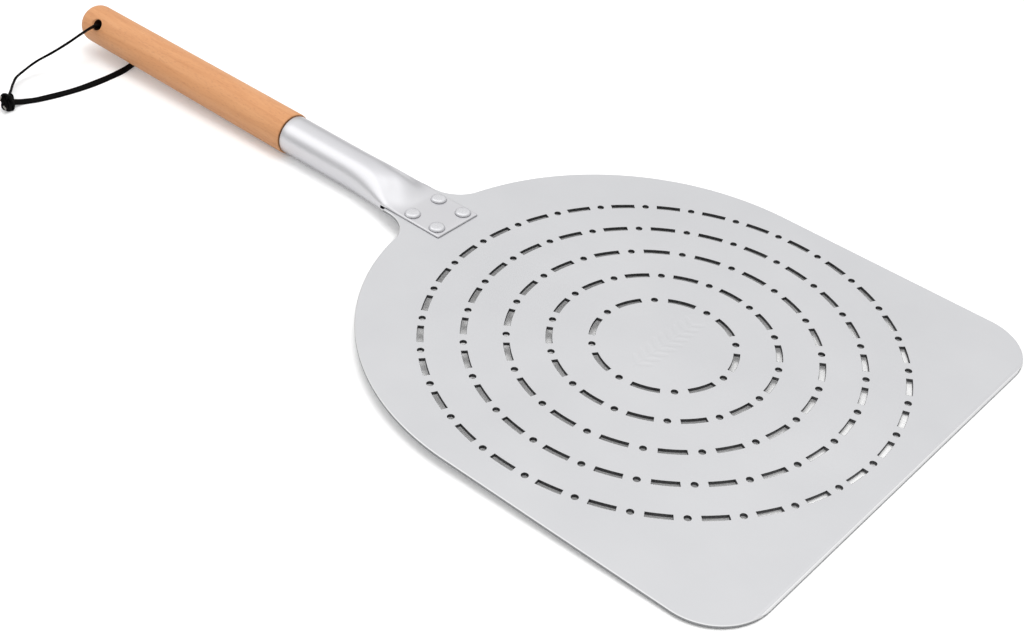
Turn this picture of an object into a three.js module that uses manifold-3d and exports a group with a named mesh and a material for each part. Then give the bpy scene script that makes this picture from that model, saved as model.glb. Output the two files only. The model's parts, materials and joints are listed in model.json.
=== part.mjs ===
// Pizza peel: a perforated aluminium blade riveted between the two tongues of a flattened,
// slit tube, with a turned beech grip pushed into the tube and a hanging cord through the grip.
//
// Millimetres. The origin is the centre of the hole rings on the blade's underside.
// +X points to the blade's straight front edge, +Z out of its top face; the handle runs to -X.

import * as THREE from "three";
import { mergeVertices, toCreasedNormals } from "three/addons/utils/BufferGeometryUtils.js";
import Module from "manifold-3d";

// ---------------------------------------------------------------- driving dimensions

// Blade sheet
const BLADE_THICKNESS = 2;
const BLADE_HALF_WIDTH = 152.5;
const BLADE_FRONT = 151.4;
const BLADE_BACK = -175.2;
const FRONT_CORNER_RADIUS = 33;
const FRONT_BEVEL_LENGTH = 2.6;
const FRONT_LIP_HEIGHT = 0.9;
const TANG_HALF_WIDTH = 19.4;
const TANG_END = -197;
const TANG_FILLET_RADIUS = 22;

// Perforation: on each ring, round holes alternate with arc slots half a pitch long
const HOLES_PER_RING = [8, 14, 18, 24, 30];
const FIRST_RING_RADIUS = 39.8;
const RING_PITCH = 23.35;
const HOLE_DIAMETER = 3.8;
const SLOT_WIDTH = 3.4;
const SLOT_SHARE = 0.5;

// Handle tube: round at the grip, pressed flat over the blade, slit to take the tang
const TUBE_DIAMETER = 25.4;
const TUBE_WALL = 1.3;
const TUBE_AXIS_HEIGHT = BLADE_THICKNESS / 2;
const TUBE_GRIP_END = -295;
const TONGUE_FRONT = -153.5;
const TONGUE_HALF_WIDTH = 17.2;
const FLATTENING_START = -250;    // from here the sides of the tube are pressed in
const CROWN_START = -222;         // from here its top and bottom come down too
const FLATTENING_END = -184.5;
const SIDE_LATENESS = 1.5;        // above 1 the press comes down late and ends steeply
const CROWN_LATENESS = 3.2;
const SLIT_ROOT = -201;
const SLIT_CLEARANCE = 0.04;
const SLIT_BITE = 0.1;   // how far the slit cuts into the inside of each pressed flat

// Rivets: two rows of two
const RIVET_ROWS = { front: -160, rear: -179.8 };
const RIVET_HALF_SPACING = 11.3;
const RIVET_SHANK_DIAMETER = 4;
const RIVET_HOLE_DIAMETER = 4.3;
const RIVET_HEAD_DIAMETER = 9.6;
const RIVET_HEAD_HEIGHT = 1.9;
const RIVET_TAIL_HEIGHT = 1.3;
const RIVET_SEAT_GAP = 0.02;

// Beech grip
const GRIP_FRONT_DIAMETER = 27.2;
const GRIP_REAR_DIAMETER = 26;
const GRIP_FRONT = -296.1;
const GRIP_REAR = -500.2;
const GRIP_END_RADIUS = 8;
const GRIP_END_CROWN = 1;
const GRIP_EDGE_BREAK = 0.8;
const SPIGOT_LENGTH = 42;
const SPIGOT_GAP = 0.3;

// Hanging bore, drilled across the grip on a slant
const BORE_X = -480.7;
const BORE_DIAMETER = 7.2;
const BORE_SLANT = THREE.MathUtils.degToRad(36.3);
const BORE_CHAMFER = 1.1;

// Screw that holds the grip in the tube, from below
const SCREW_X = -279;
const SCREW_SHANK_DIAMETER = 3.4;
const SCREW_LENGTH = 13;
const SCREW_HEAD_DIAMETER = 7;
const SCREW_HEAD_HEIGHT = 0.8;
const SCREW_GAP = 0.3;

// Hanging cord
const CORD_DIAMETER = 2.4;
const KNOT_RADII = new THREE.Vector3(5.2, 5.4, 3);
const CORD_SAG = 1.6;   // how far the cord lies off the bore's axis at its near mouth

// Height of a tongue's outer face above the blade's own face
const TONGUE_RISE = TUBE_WALL + SLIT_CLEARANCE - SLIT_BITE;

// ---------------------------------------------------------------- solids

const wasm = await Module();
wasm.setup();

/** Turns a closed geometry into a solid that can be joined and cut. */
function toSolid(geometry) {
  const bare = geometry.index ? geometry.clone() : geometry;
  bare.deleteAttribute("normal");
  bare.deleteAttribute("uv");
  const merged = mergeVertices(bare, 1e-4);
  return new wasm.Manifold(new wasm.Mesh({
    numProp: 3,
    vertProperties: Float32Array.from(merged.attributes.position.array),
    triVerts: Uint32Array.from(merged.index.array),
  }));
}

/** Turns a solid back into a geometry, with sharp normals across its edges. */
function toGeometry(solid) {
  const { vertProperties, triVerts } = solid.getMesh();
  const geometry = new THREE.BufferGeometry();
  geometry.setAttribute("position", new THREE.BufferAttribute(vertProperties, 3));
  geometry.setIndex(new THREE.BufferAttribute(triVerts, 1));
  return toCreasedNormals(geometry, Math.PI / 6);
}

/** A closed profile of [radius, x] corners turned about the X axis. */
function turnedAboutX(corners, segments) {
  const profile = corners.map(([radius, x]) => new THREE.Vector2(radius, x));
  return new THREE.LatheGeometry(profile, segments).rotateZ(-Math.PI / 2);
}

/** A closed profile of [radius, z] corners turned about the Z axis. */
function turnedAboutZ(corners, segments) {
  const profile = corners.map(([radius, z]) => new THREE.Vector2(radius, z));
  return new THREE.LatheGeometry(profile, segments).rotateX(Math.PI / 2);
}

/** An upright cylinder that spans two heights. */
function uprightPin(x, y, radius, bottom, top, segments) {
  return new THREE.CylinderGeometry(radius, radius, top - bottom, segments)
    .rotateX(Math.PI / 2)
    .translate(x, y, (top + bottom) / 2);
}

/** Points along an arc, both ends included. */
function arcPoints(cx, cy, radius, from, to, steps) {
  const points = [];
  for (let i = 0; i <= steps; i += 1) {
    const angle = THREE.MathUtils.lerp(from, to, i / steps);
    points.push(new THREE.Vector2(cx + radius * Math.cos(angle), cy + radius * Math.sin(angle)));
  }
  return points;
}

// ---------------------------------------------------------------- materials

function satinAluminium() {
  return new THREE.MeshStandardMaterial({ color: 0xd6d7da, roughness: 0.42, metalness: 0.85 });
}

function brushedTube() {
  return new THREE.MeshStandardMaterial({ color: 0xcfd0d3, roughness: 0.34, metalness: 0.9 });
}

function rivetAluminium() {
  return new THREE.MeshStandardMaterial({ color: 0xdcdce0, roughness: 0.3, metalness: 0.9 });
}

function beech() {
  return new THREE.MeshStandardMaterial({ color: 0xdca06f, roughness: 0.6, metalness: 0 });
}

function zincSteel() {
  return new THREE.MeshStandardMaterial({ color: 0xb4b6b8, roughness: 0.35, metalness: 1 });
}

function blackCord() {
  return new THREE.MeshStandardMaterial({ color: 0x14110f, roughness: 0.65, metalness: 0 });
}

// ---------------------------------------------------------------- blade

/** The +Y half of the blade's outline, from the middle of the front edge to the tang's end. */
function bladeHalfOutline() {
  const quarter = Math.PI / 2;
  const arcCentre = BLADE_BACK + BLADE_HALF_WIDTH;
  const cornerX = BLADE_FRONT - FRONT_CORNER_RADIUS;
  const cornerY = BLADE_HALF_WIDTH - FRONT_CORNER_RADIUS;
  const filletY = TANG_HALF_WIDTH + TANG_FILLET_RADIUS;
  const reach = BLADE_HALF_WIDTH + TANG_FILLET_RADIUS;
  const filletX = arcCentre - Math.sqrt(reach ** 2 - filletY ** 2);
  const join = Math.atan2(filletY, filletX - arcCentre);
  return [
    ...arcPoints(cornerX, cornerY, FRONT_CORNER_RADIUS, 0, quarter, 9),
    ...arcPoints(arcCentre, 0, BLADE_HALF_WIDTH, quarter, join, 24),
    ...arcPoints(filletX, filletY, TANG_FILLET_RADIUS, join - Math.PI, -quarter, 5).slice(1),
    new THREE.Vector2(TANG_END, TANG_HALF_WIDTH),
  ];
}

function bladeOutline() {
  const half = bladeHalfOutline();
  const mirrored = half.map((point) => new THREE.Vector2(point.x, -point.y)).reverse();
  return [...half, ...mirrored];
}

function roundHole(radius, angle) {
  const x = radius * Math.cos(angle);
  const y = radius * Math.sin(angle);
  const points = arcPoints(x, y, HOLE_DIAMETER / 2, angle, angle + 2 * Math.PI, 8);
  return new THREE.Path(points.slice(0, -1));
}

function arcSlot(radius, angle, halfAngle) {
  const outer = arcPoints(0, 0, radius + SLOT_WIDTH / 2, angle - halfAngle, angle + halfAngle, 2);
  const inner = arcPoints(0, 0, radius - SLOT_WIDTH / 2, angle + halfAngle, angle - halfAngle, 2);
  return new THREE.Path([...outer, ...inner]);
}

function perforations() {
  const holes = [];
  HOLES_PER_RING.forEach((count, ring) => {
    const radius = FIRST_RING_RADIUS + ring * RING_PITCH;
    const pitch = 2 * Math.PI / count;
    for (let i = 0; i < count; i += 1) {
      holes.push(roundHole(radius, i * pitch));
      holes.push(arcSlot(radius, (i + 0.5) * pitch, SLOT_SHARE * pitch / 2));
    }
  });
  return holes;
}

function rivetPlaces() {
  const places = [];
  for (const [row, x] of Object.entries(RIVET_ROWS)) {
    places.push({ name: `rivet_${row}_left`, x, y: RIVET_HALF_SPACING });
    places.push({ name: `rivet_${row}_right`, x, y: -RIVET_HALF_SPACING });
  }
  return places;
}

function rivetHole(place) {
  return toSolid(uprightPin(place.x, place.y, RIVET_HOLE_DIAMETER / 2, -20, 20, 12));
}

/** The wedge planed off the top of the straight front edge. */
function frontBevel() {
  const drop = BLADE_THICKNESS - FRONT_LIP_HEIGHT;
  const overrun = 1.5;
  const rise = drop * overrun / FRONT_BEVEL_LENGTH;
  const section = new THREE.Shape([
    new THREE.Vector2(BLADE_FRONT - FRONT_BEVEL_LENGTH - overrun, BLADE_THICKNESS + rise),
    new THREE.Vector2(BLADE_FRONT + overrun, FRONT_LIP_HEIGHT - rise),
    new THREE.Vector2(BLADE_FRONT + overrun, BLADE_THICKNESS + rise),
  ]);
  const length = 2 * BLADE_HALF_WIDTH + 20;
  const wedge = new THREE.ExtrudeGeometry(section, { depth: length, bevelEnabled: false });
  return toSolid(wedge.rotateX(Math.PI / 2).translate(0, length / 2, 0));
}

function makeBlade() {
  const shape = new THREE.Shape(bladeOutline());
  shape.holes = perforations();
  const sheet = new THREE.ExtrudeGeometry(shape, { depth: BLADE_THICKNESS, bevelEnabled: false });
  let solid = toSolid(sheet).subtract(frontBevel());
  for (const place of rivetPlaces()) {
    solid = solid.subtract(rivetHole(place));
  }
  return new THREE.Mesh(toGeometry(solid), satinAluminium());
}

// ---------------------------------------------------------------- handle tube

/** A height of the wall's mid-line on its way from the round tube down to the closed tongues. */
function pressedHeight(x, start, lateness) {
  const round = (TUBE_DIAMETER - TUBE_WALL) / 2;
  const flat = BLADE_THICKNESS / 2 + SLIT_CLEARANCE - SLIT_BITE + TUBE_WALL / 2;
  const press = THREE.MathUtils.smoothstep(x, start, FLATTENING_END) ** lateness;
  return THREE.MathUtils.lerp(round, flat, press);
}

/** Moves a point of the round tube to its place on the pressed section: two bends joined by two arches. */
function flattenPoint(point) {
  const round = (TUBE_DIAMETER - TUBE_WALL) / 2;
  const bend = pressedHeight(point.x, FLATTENING_START, SIDE_LATENESS);
  const crown = pressedHeight(point.x, CROWN_START, CROWN_LATENESS);
  const offset = Math.hypot(point.y, point.z) - round;
  const angle = Math.atan2(point.y, point.z);
  const span = Math.PI * (round - bend) / 2;
  const travel = Math.abs(angle) * round;
  const turn = THREE.MathUtils.clamp((travel - span) / bend, 0, Math.PI);
  let across = Math.min(travel, span);
  if (turn === Math.PI) {
    across = 2 * span + Math.PI * bend - travel;
  }
  const reach = bend + offset;
  const out = across + reach * Math.sin(turn);
  const share = Math.min(1, out / (span + bend));
  const arch = (crown - bend) * Math.cos(share * Math.PI / 2) ** 2;
  point.y = Math.sign(angle) * out;
  point.z = reach * Math.cos(turn) + (turn < Math.PI / 2 ? arch : -arch);
}

function flattenedTube() {
  const outer = TUBE_DIAMETER / 2;
  const inner = outer - TUBE_WALL;
  const stations = [TUBE_GRIP_END];
  const steps = 16;
  for (let i = 0; i <= steps; i += 1) {
    stations.push(THREE.MathUtils.lerp(FLATTENING_START, FLATTENING_END, i / steps));
  }
  stations.push(TONGUE_FRONT);
  const corners = stations.map((x) => [outer, x]);
  corners.push(...stations.map((x) => [inner, x]).reverse());
  corners.push(corners[0]);
  const tube = turnedAboutX(corners, 40);
  const position = tube.attributes.position;
  const point = new THREE.Vector3();
  for (let i = 0; i < position.count; i += 1) {
    point.fromBufferAttribute(position, i);
    flattenPoint(point);
    position.setXYZ(i, point.x, point.y, point.z);
  }
  return toSolid(tube.translate(0, 0, TUBE_AXIS_HEIGHT));
}

/** The sideways saw cut that parts the flattened end into an upper and a lower tongue. */
function tangSlit() {
  const length = TONGUE_FRONT - SLIT_ROOT + 10;
  const height = BLADE_THICKNESS + 2 * SLIT_CLEARANCE;
  const slit = new THREE.BoxGeometry(length, 4 * TANG_HALF_WIDTH, height);
  return toSolid(slit.translate(SLIT_ROOT + length / 2, 0, TUBE_AXIS_HEIGHT));
}

/** Trims one rounded side off the flattened end, so that each tongue gets a straight edge. */
function sideTrim(side) {
  const length = TONGUE_FRONT - SLIT_ROOT + 10;
  const width = TANG_HALF_WIDTH;
  const trim = new THREE.BoxGeometry(length, width, TUBE_DIAMETER);
  trim.translate(SLIT_ROOT + length / 2, side * (TONGUE_HALF_WIDTH + width / 2), TUBE_AXIS_HEIGHT);
  return toSolid(trim);
}

function screwHole(radius, depthIntoGrip) {
  const bottom = TUBE_AXIS_HEIGHT - TUBE_DIAMETER;
  const top = TUBE_AXIS_HEIGHT - TUBE_DIAMETER / 2 + TUBE_WALL + depthIntoGrip;
  return toSolid(uprightPin(SCREW_X, 0, radius, bottom, top, 12));
}

function makeHandleTube() {
  let solid = flattenedTube().subtract(tangSlit());
  solid = solid.subtract(sideTrim(1)).subtract(sideTrim(-1));
  for (const place of rivetPlaces()) {
    solid = solid.subtract(rivetHole(place));
  }
  solid = solid.subtract(screwHole(SCREW_SHANK_DIAMETER / 2 + SCREW_GAP, 2));
  return new THREE.Mesh(toGeometry(solid), brushedTube());
}

// ---------------------------------------------------------------- rivets

function rivetGeometry() {
  const shank = RIVET_SHANK_DIAMETER / 2;
  const head = RIVET_HEAD_DIAMETER / 2;
  const headSeat = BLADE_THICKNESS + TONGUE_RISE + RIVET_SEAT_GAP;
  const tailSeat = -TONGUE_RISE - RIVET_SEAT_GAP;
  return turnedAboutZ([
    [0, tailSeat - RIVET_TAIL_HEIGHT],
    [0.75 * head, tailSeat - 0.85 * RIVET_TAIL_HEIGHT],
    [0.95 * head, tailSeat],
    [shank, tailSeat],
    [shank, headSeat],
    [head, headSeat],
    [0.93 * head, headSeat + 0.45 * RIVET_HEAD_HEIGHT],
    [0.68 * head, headSeat + 0.85 * RIVET_HEAD_HEIGHT],
    [0, headSeat + RIVET_HEAD_HEIGHT],
  ], 16);
}

function makeRivet(place) {
  const rivet = new THREE.Mesh(rivetGeometry(), rivetAluminium());
  rivet.name = place.name;
  rivet.position.set(place.x, place.y, 0);
  return rivet;
}

// ---------------------------------------------------------------- grip and its screw

/** Direction of the hanging bore, from the far low mouth to the near high one. */
function boreDirection() {
  return new THREE.Vector3(0, -Math.cos(BORE_SLANT), Math.sin(BORE_SLANT));
}

/** A point on the bore's axis, measured from the middle of the grip. */
function onBore(distance) {
  return boreDirection().multiplyScalar(distance).add(new THREE.Vector3(BORE_X, 0, TUBE_AXIS_HEIGHT));
}

function hangingBore() {
  const radius = BORE_DIAMETER / 2;
  const surface = GRIP_REAR_DIAMETER / 2;
  const flare = BORE_CHAMFER + 2;
  const cutter = new THREE.LatheGeometry([
    new THREE.Vector2(0, -surface - 2),
    new THREE.Vector2(radius + flare, -surface - 2),
    new THREE.Vector2(radius, -surface + BORE_CHAMFER),
    new THREE.Vector2(radius, surface - BORE_CHAMFER),
    new THREE.Vector2(radius + flare, surface + 2),
    new THREE.Vector2(0, surface + 2),
  ], 20);
  const turn = new THREE.Quaternion().setFromUnitVectors(new THREE.Vector3(0, 1, 0), boreDirection());
  const middle = onBore(0);
  return toSolid(cutter.applyQuaternion(turn).translate(middle.x, middle.y, middle.z));
}

function gripBody() {
  const frontRadius = GRIP_FRONT_DIAMETER / 2;
  const spigot = TUBE_DIAMETER / 2 - TUBE_WALL - SPIGOT_GAP;
  const endCentreX = GRIP_REAR + GRIP_END_RADIUS;
  const endCentreR = GRIP_REAR_DIAMETER / 2 - GRIP_END_RADIUS;
  const end = arcPoints(endCentreX, endCentreR, GRIP_END_RADIUS, Math.PI, Math.PI / 2, 6);
  const corners = [
    [0, GRIP_REAR - GRIP_END_CROWN],
    ...end.map((point) => [point.y, point.x]),
    [frontRadius, GRIP_FRONT - GRIP_EDGE_BREAK],
    [frontRadius - GRIP_EDGE_BREAK, GRIP_FRONT],
    [spigot, GRIP_FRONT],
    [spigot, GRIP_FRONT + SPIGOT_LENGTH - 2],
    [spigot - 2, GRIP_FRONT + SPIGOT_LENGTH],
    [0, GRIP_FRONT + SPIGOT_LENGTH],
  ];
  return toSolid(turnedAboutX(corners, 32).translate(0, 0, TUBE_AXIS_HEIGHT));
}

function makeWoodGrip() {
  const pilot = screwHole(SCREW_SHANK_DIAMETER / 2 + SCREW_GAP, SCREW_LENGTH + 1);
  const solid = gripBody().subtract(hangingBore()).subtract(pilot);
  return new THREE.Mesh(toGeometry(solid), beech());
}

function makeGripScrew() {
  const shank = SCREW_SHANK_DIAMETER / 2;
  const head = SCREW_HEAD_DIAMETER / 2;
  const tubeBottom = TUBE_AXIS_HEIGHT - TUBE_DIAMETER / 2;
  const seat = tubeBottom - RIVET_SEAT_GAP;
  const screw = turnedAboutZ([
    [0, seat - SCREW_HEAD_HEIGHT],
    [0.7 * head, seat - SCREW_HEAD_HEIGHT],
    [head, seat - 0.4 * SCREW_HEAD_HEIGHT],
    [head, seat],
    [shank, seat],
    [shank, tubeBottom + SCREW_LENGTH - 3],
    [0, tubeBottom + SCREW_LENGTH],
  ], 16);
  return new THREE.Mesh(screw.translate(SCREW_X, 0, 0), zincSteel());
}

// ---------------------------------------------------------------- hanging cord

/** The knot's centre, lying beside the handle. */
function knotCentre() {
  return new THREE.Vector3(-469.4, -92.9, -14.4);
}

/** The loop's centre line: out of the knot, under the grip, through the bore and back. */
function cordPath() {
  const surface = GRIP_REAR_DIAMETER / 2;
  const sag = new THREE.Vector3(0, -Math.sin(BORE_SLANT), -Math.cos(BORE_SLANT));
  return new THREE.CatmullRomCurve3([
    knotCentre(),
    new THREE.Vector3(-465.9, -84.2, -15.9),
    new THREE.Vector3(-461.7, -75.6, -15.9),
    new THREE.Vector3(-454.8, -48.6, -15.9),
    new THREE.Vector3(-453.5, -22.6, -16),
    new THREE.Vector3(-455.5, -5.6, -16.1),
    new THREE.Vector3(-461.5, 8.4, -15.2),
    new THREE.Vector3(-473, 15.5, -12.4),
    onBore(-surface - 3.2),
    onBore(-surface + 4),
    onBore(0),
    onBore(surface - 4).addScaledVector(sag, 0.5 * CORD_SAG),
    onBore(surface + 1).addScaledVector(sag, CORD_SAG),
    new THREE.Vector3(-480.3, -22.6, 6.8),
    new THREE.Vector3(-481.6, -34.5, 2.8),
    new THREE.Vector3(-485.2, -45, -2),
    new THREE.Vector3(-490, -55, -7),
    new THREE.Vector3(-490.9, -64.5, -10.6),
    new THREE.Vector3(-489.1, -72.3, -12.2),
    new THREE.Vector3(-485.5, -77.6, -13.4),
    new THREE.Vector3(-477.9, -85.1, -14.2),
    knotCentre(),
  ], false, "centripetal");
}

function makeHangCord() {
  const radius = CORD_DIAMETER / 2;
  const section = new THREE.Shape(arcPoints(0, 0, radius, 0, 2 * Math.PI, 8).slice(0, -1));
  const loop = new THREE.ExtrudeGeometry(section, { steps: 84, extrudePath: cordPath() });
  const knot = new THREE.SphereGeometry(1, 12, 8);
  knot.scale(KNOT_RADII.x, KNOT_RADII.y, KNOT_RADII.z);
  const centre = knotCentre();
  knot.translate(centre.x, centre.y, centre.z);
  return new THREE.Mesh(toGeometry(toSolid(loop).add(toSolid(knot))), blackCord());
}

// ---------------------------------------------------------------- assembly

function named(mesh, name) {
  mesh.name = name;
  return mesh;
}

const peel = new THREE.Group();
peel.name = "pizza_peel";
peel.add(named(makeBlade(), "blade"));
peel.add(named(makeHandleTube(), "handle_tube"));
for (const place of rivetPlaces()) {
  peel.add(makeRivet(place));
}
peel.add(named(makeWoodGrip(), "wood_grip"));
peel.add(named(makeGripScrew(), "grip_screw"));
peel.add(named(makeHangCord(), "hang_cord"));

export default peel;
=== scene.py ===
# Looks of the perforated pizza peel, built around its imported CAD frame.
# Lengths are in millimetres until a mesh is made; the scene itself is in metres.

import json
import math

import bmesh
import bpy
import numpy as np
from mathutils import Matrix, Vector
from mathutils.geometry import delaunay_2d_cdt


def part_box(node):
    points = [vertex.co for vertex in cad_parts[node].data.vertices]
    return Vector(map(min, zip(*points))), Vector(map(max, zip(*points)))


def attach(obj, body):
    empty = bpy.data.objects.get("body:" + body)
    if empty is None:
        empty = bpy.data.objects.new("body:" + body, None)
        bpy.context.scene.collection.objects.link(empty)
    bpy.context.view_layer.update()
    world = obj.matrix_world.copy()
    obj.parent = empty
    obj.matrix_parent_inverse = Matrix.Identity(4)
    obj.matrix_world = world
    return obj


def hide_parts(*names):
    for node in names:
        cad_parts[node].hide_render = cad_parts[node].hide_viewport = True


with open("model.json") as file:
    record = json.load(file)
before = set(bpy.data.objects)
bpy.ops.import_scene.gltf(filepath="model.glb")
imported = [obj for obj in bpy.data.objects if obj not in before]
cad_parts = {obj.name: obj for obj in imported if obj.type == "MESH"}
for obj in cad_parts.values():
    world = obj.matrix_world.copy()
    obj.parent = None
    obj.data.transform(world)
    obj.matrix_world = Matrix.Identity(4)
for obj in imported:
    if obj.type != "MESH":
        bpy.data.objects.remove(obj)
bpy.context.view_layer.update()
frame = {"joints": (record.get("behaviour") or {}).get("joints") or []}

MM = 0.001


def node_box(node):
    """Lowest and highest corner of a CAD node, in millimetres."""
    low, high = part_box(node)
    return np.array(low) / MM, np.array(high) / MM


def node_centre(node):
    low, high = node_box(node)
    return (low + high) / 2


# ---- dimensions

BLADE_LOW, BLADE_HIGH = node_box("blade")
TUBE_LOW, TUBE_HIGH = node_box("handle_tube")
GRIP_LOW, GRIP_HIGH = node_box("wood_grip")

THICKNESS = BLADE_HIGH[2] - BLADE_LOW[2]
HALF_WIDTH = BLADE_HIGH[1]
BLADE_FRONT = BLADE_HIGH[0]
TANG_END = BLADE_LOW[0]
BLADE_BACK = -175.2
FRONT_CORNER_RADIUS = 33.0
FRONT_BEVEL_LENGTH = 2.6
FRONT_BEVEL_POWER = 2.6
FRONT_LIP_HEIGHT = 0.8
TANG_HALF_WIDTH = 19.4
TANG_FILLET_RADIUS = 22.0
PLANED_LENGTH = 1.6
BEVEL_OVERLAP = 0.5
SHEET_EDGE_ROUND = 0.6
LIP_ROUND_SHARE = 0.45
HOLE_EDGE_ROUND = 0.16

HOLES_PER_RING = (8, 14, 18, 24, 30)
FIRST_RING_RADIUS = 39.8
RING_PITCH = 23.35
HOLE_RADIUS = 1.9
SLOT_WIDTH = 3.4
SLOT_SHARE = 0.5
SLOT_STEP = 1.2

TUBE_RADIUS = 12.7
TUBE_WALL = 1.3
AXIS_HEIGHT = THICKNESS / 2
TUBE_GRIP_END = TUBE_LOW[0]
TONGUE_FRONT = TUBE_HIGH[0]
TONGUE_HALF_WIDTH = 17.2
TONGUE_EDGE_ROUND = 0.75
FLATTENING_START = -250.0
CROWN_START = -222.0
FLATTENING_END = -184.5
SIDE_LATENESS = 1.5
CROWN_LATENESS = 3.2
SLIT_ROOT = -201.0
SLIT_HALF_HEIGHT = THICKNESS / 2 + 0.04
TONGUE_PINCH = 0.1
FLAT_MID_HEIGHT = SLIT_HALF_HEIGHT - TONGUE_PINCH + TUBE_WALL / 2

RIVET_NODES = ("rivet_front_left", "rivet_front_right", "rivet_rear_left", "rivet_rear_right")
RIVET_SHANK_RADIUS = 2.0
RIVET_HOLE_RADIUS = 2.15
SCREW_HEAD_HEIGHT = 0.8
SCREW_RADIUS = 1.7
SCREW_ROOT_RADIUS = 1.35
SCREW_QUARTER_PITCH = 0.35
SCREW_HOLE_RADIUS = 2.0

GRIP_RADIUS = GRIP_HIGH[1]
GRIP_REAR_RADIUS = 13.0
GRIP_END_CROWN = 1.0
GRIP_REAR = GRIP_LOW[0] + GRIP_END_CROWN
SHOULDER_GAP = 1.1
SHOULDER_ROUND = 0.9
GRIP_FRONT = TUBE_GRIP_END - SHOULDER_GAP
GRIP_END_RADIUS = 8.0
SPIGOT_END = GRIP_HIGH[0]
SPIGOT_CLEARANCE = 0.3
SPIGOT_RADIUS = TUBE_RADIUS - TUBE_WALL - SPIGOT_CLEARANCE

JOINT = next(j for j in frame["joints"] if j["name"] == "cord_swing")
BORE_MIDDLE = np.array(JOINT["pos_m"]) / MM
BORE_AXIS = np.array(JOINT["axis"])
BORE_RADIUS = 3.6
BORE_CHAMFER = 1.1


# ---- mesh helpers

def make_object(name, verts, faces, flat=None, slots=None, sharp_deg=40.0):
    """A mesh object from millimetre points. flat says which faces are dead flat, slots their materials."""
    mesh = bpy.data.meshes.new(name)
    mesh.from_pydata((np.asarray(verts, float) * MM).tolist(), [], [tuple(map(int, f)) for f in faces])
    bm = bmesh.new()
    bm.from_mesh(mesh)
    bm.faces.ensure_lookup_table()
    flats = [False] * len(faces) if flat is None else list(flat)
    for face, is_flat in zip(bm.faces, flats):
        face.smooth = True
        face.tag = bool(is_flat)
    if slots is not None:
        for face, slot in zip(bm.faces, slots):
            face.material_index = int(slot)
    bmesh.ops.remove_doubles(bm, verts=bm.verts[:], dist=1e-6)
    bm.edges.ensure_lookup_table()
    for edge in bm.edges:
        if len(edge.link_faces) == 2:
            one, two = edge.link_faces
            angle = math.degrees(edge.calc_face_angle(0))
            edge.smooth = not (angle > sharp_deg or one.tag != two.tag
                               or (one.tag and two.tag and angle > 3))
    bm.to_mesh(mesh)
    bm.free()
    obj = bpy.data.objects.new(name, mesh)
    bpy.context.scene.collection.objects.link(obj)
    return obj


def apply_modifiers(obj):
    """Bakes the object's modifiers into its mesh."""
    graph = bpy.context.evaluated_depsgraph_get()
    mesh = bpy.data.meshes.new_from_object(obj.evaluated_get(graph))
    obj.modifiers.clear()
    old = obj.data
    obj.data = mesh
    bpy.data.meshes.remove(old)
    mesh.name = obj.name


def recalc_normals(obj, shortest=0.0):
    """Turns every face outwards, after closing up the edges that are shorter than a length in metres."""
    bm = bmesh.new()
    bm.from_mesh(obj.data)
    if shortest:
        bmesh.ops.dissolve_degenerate(bm, edges=bm.edges[:], dist=shortest)
    bmesh.ops.recalc_face_normals(bm, faces=bm.faces[:])
    bm.to_mesh(obj.data)
    bm.free()


def shade_by_angle(obj, degrees):
    mesh = obj.data
    mesh.polygons.foreach_set("use_smooth", [True] * len(mesh.polygons))
    mesh.set_sharp_from_angle(angle=math.radians(degrees))


def cut(obj, cutters):
    """Cuts closed meshes out of obj. Removing a cutter's mesh removes the cutter as well."""
    for cutter in cutters:
        modifier = obj.modifiers.new("cut", "BOOLEAN")
        modifier.operation = "DIFFERENCE"
        modifier.solver = "EXACT"
        modifier.object = cutter
    bpy.context.view_layer.update()
    apply_modifiers(obj)
    for cutter in cutters:
        bpy.data.meshes.remove(cutter.data)


def bevel(obj, width, segments, limit_deg):
    modifier = obj.modifiers.new("bevel", "BEVEL")
    modifier.width = width * MM
    modifier.segments = segments
    modifier.limit_method = "ANGLE"
    modifier.angle_limit = math.radians(limit_deg)
    modifier.use_clamp_overlap = True
    apply_modifiers(obj)


def lathe(profile, segments):
    """Points and faces of a profile of (radius, along) turned about the along axis; ends close on it."""
    verts, rings = [], []
    for radius, along in profile:
        if radius < 1e-6:
            rings.append([len(verts)])
            verts.append((0.0, 0.0, along))
            continue
        rings.append(list(range(len(verts), len(verts) + segments)))
        for i in range(segments):
            angle = 2 * math.pi * i / segments
            verts.append((radius * math.cos(angle), radius * math.sin(angle), along))
    faces = []
    for low, high in zip(rings, rings[1:]):
        for i in range(segments):
            j = (i + 1) % segments
            corners = [low[i % len(low)], low[j % len(low)], high[j % len(high)], high[i % len(high)]]
            unique = [c for k, c in enumerate(corners) if c not in corners[:k]]
            if len(unique) > 2:
                faces.append(unique)
    return np.array(verts), faces


def pin_cutter(radius, low, high, place):
    """A round cutter standing on end, from low to high about a place."""
    verts, faces = lathe([(0, low), (radius, low), (radius, high), (0, high)], 24)
    return make_object("cutter", verts + place, faces)


def placed(points, middle, axis):
    """Moves points whose long axis is Z so that they lie along an axis through a middle."""
    turn = Vector((0, 0, 1)).rotation_difference(Vector(axis)).to_matrix()
    return points @ np.array(turn).T + np.asarray(middle, float)


def arc(cx, cy, radius, start, end, steps):
    angles = np.linspace(start, end, steps + 1)
    return np.stack([cx + radius * np.cos(angles), cy + radius * np.sin(angles)], axis=1)


def smoothstep(value, low, high):
    t = np.clip((value - low) / (high - low), 0, 1)
    return t * t * (3 - 2 * t)


def unit(vectors):
    return vectors / np.linalg.norm(vectors, axis=-1, keepdims=True)


# ---- blade outline and holes

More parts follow.
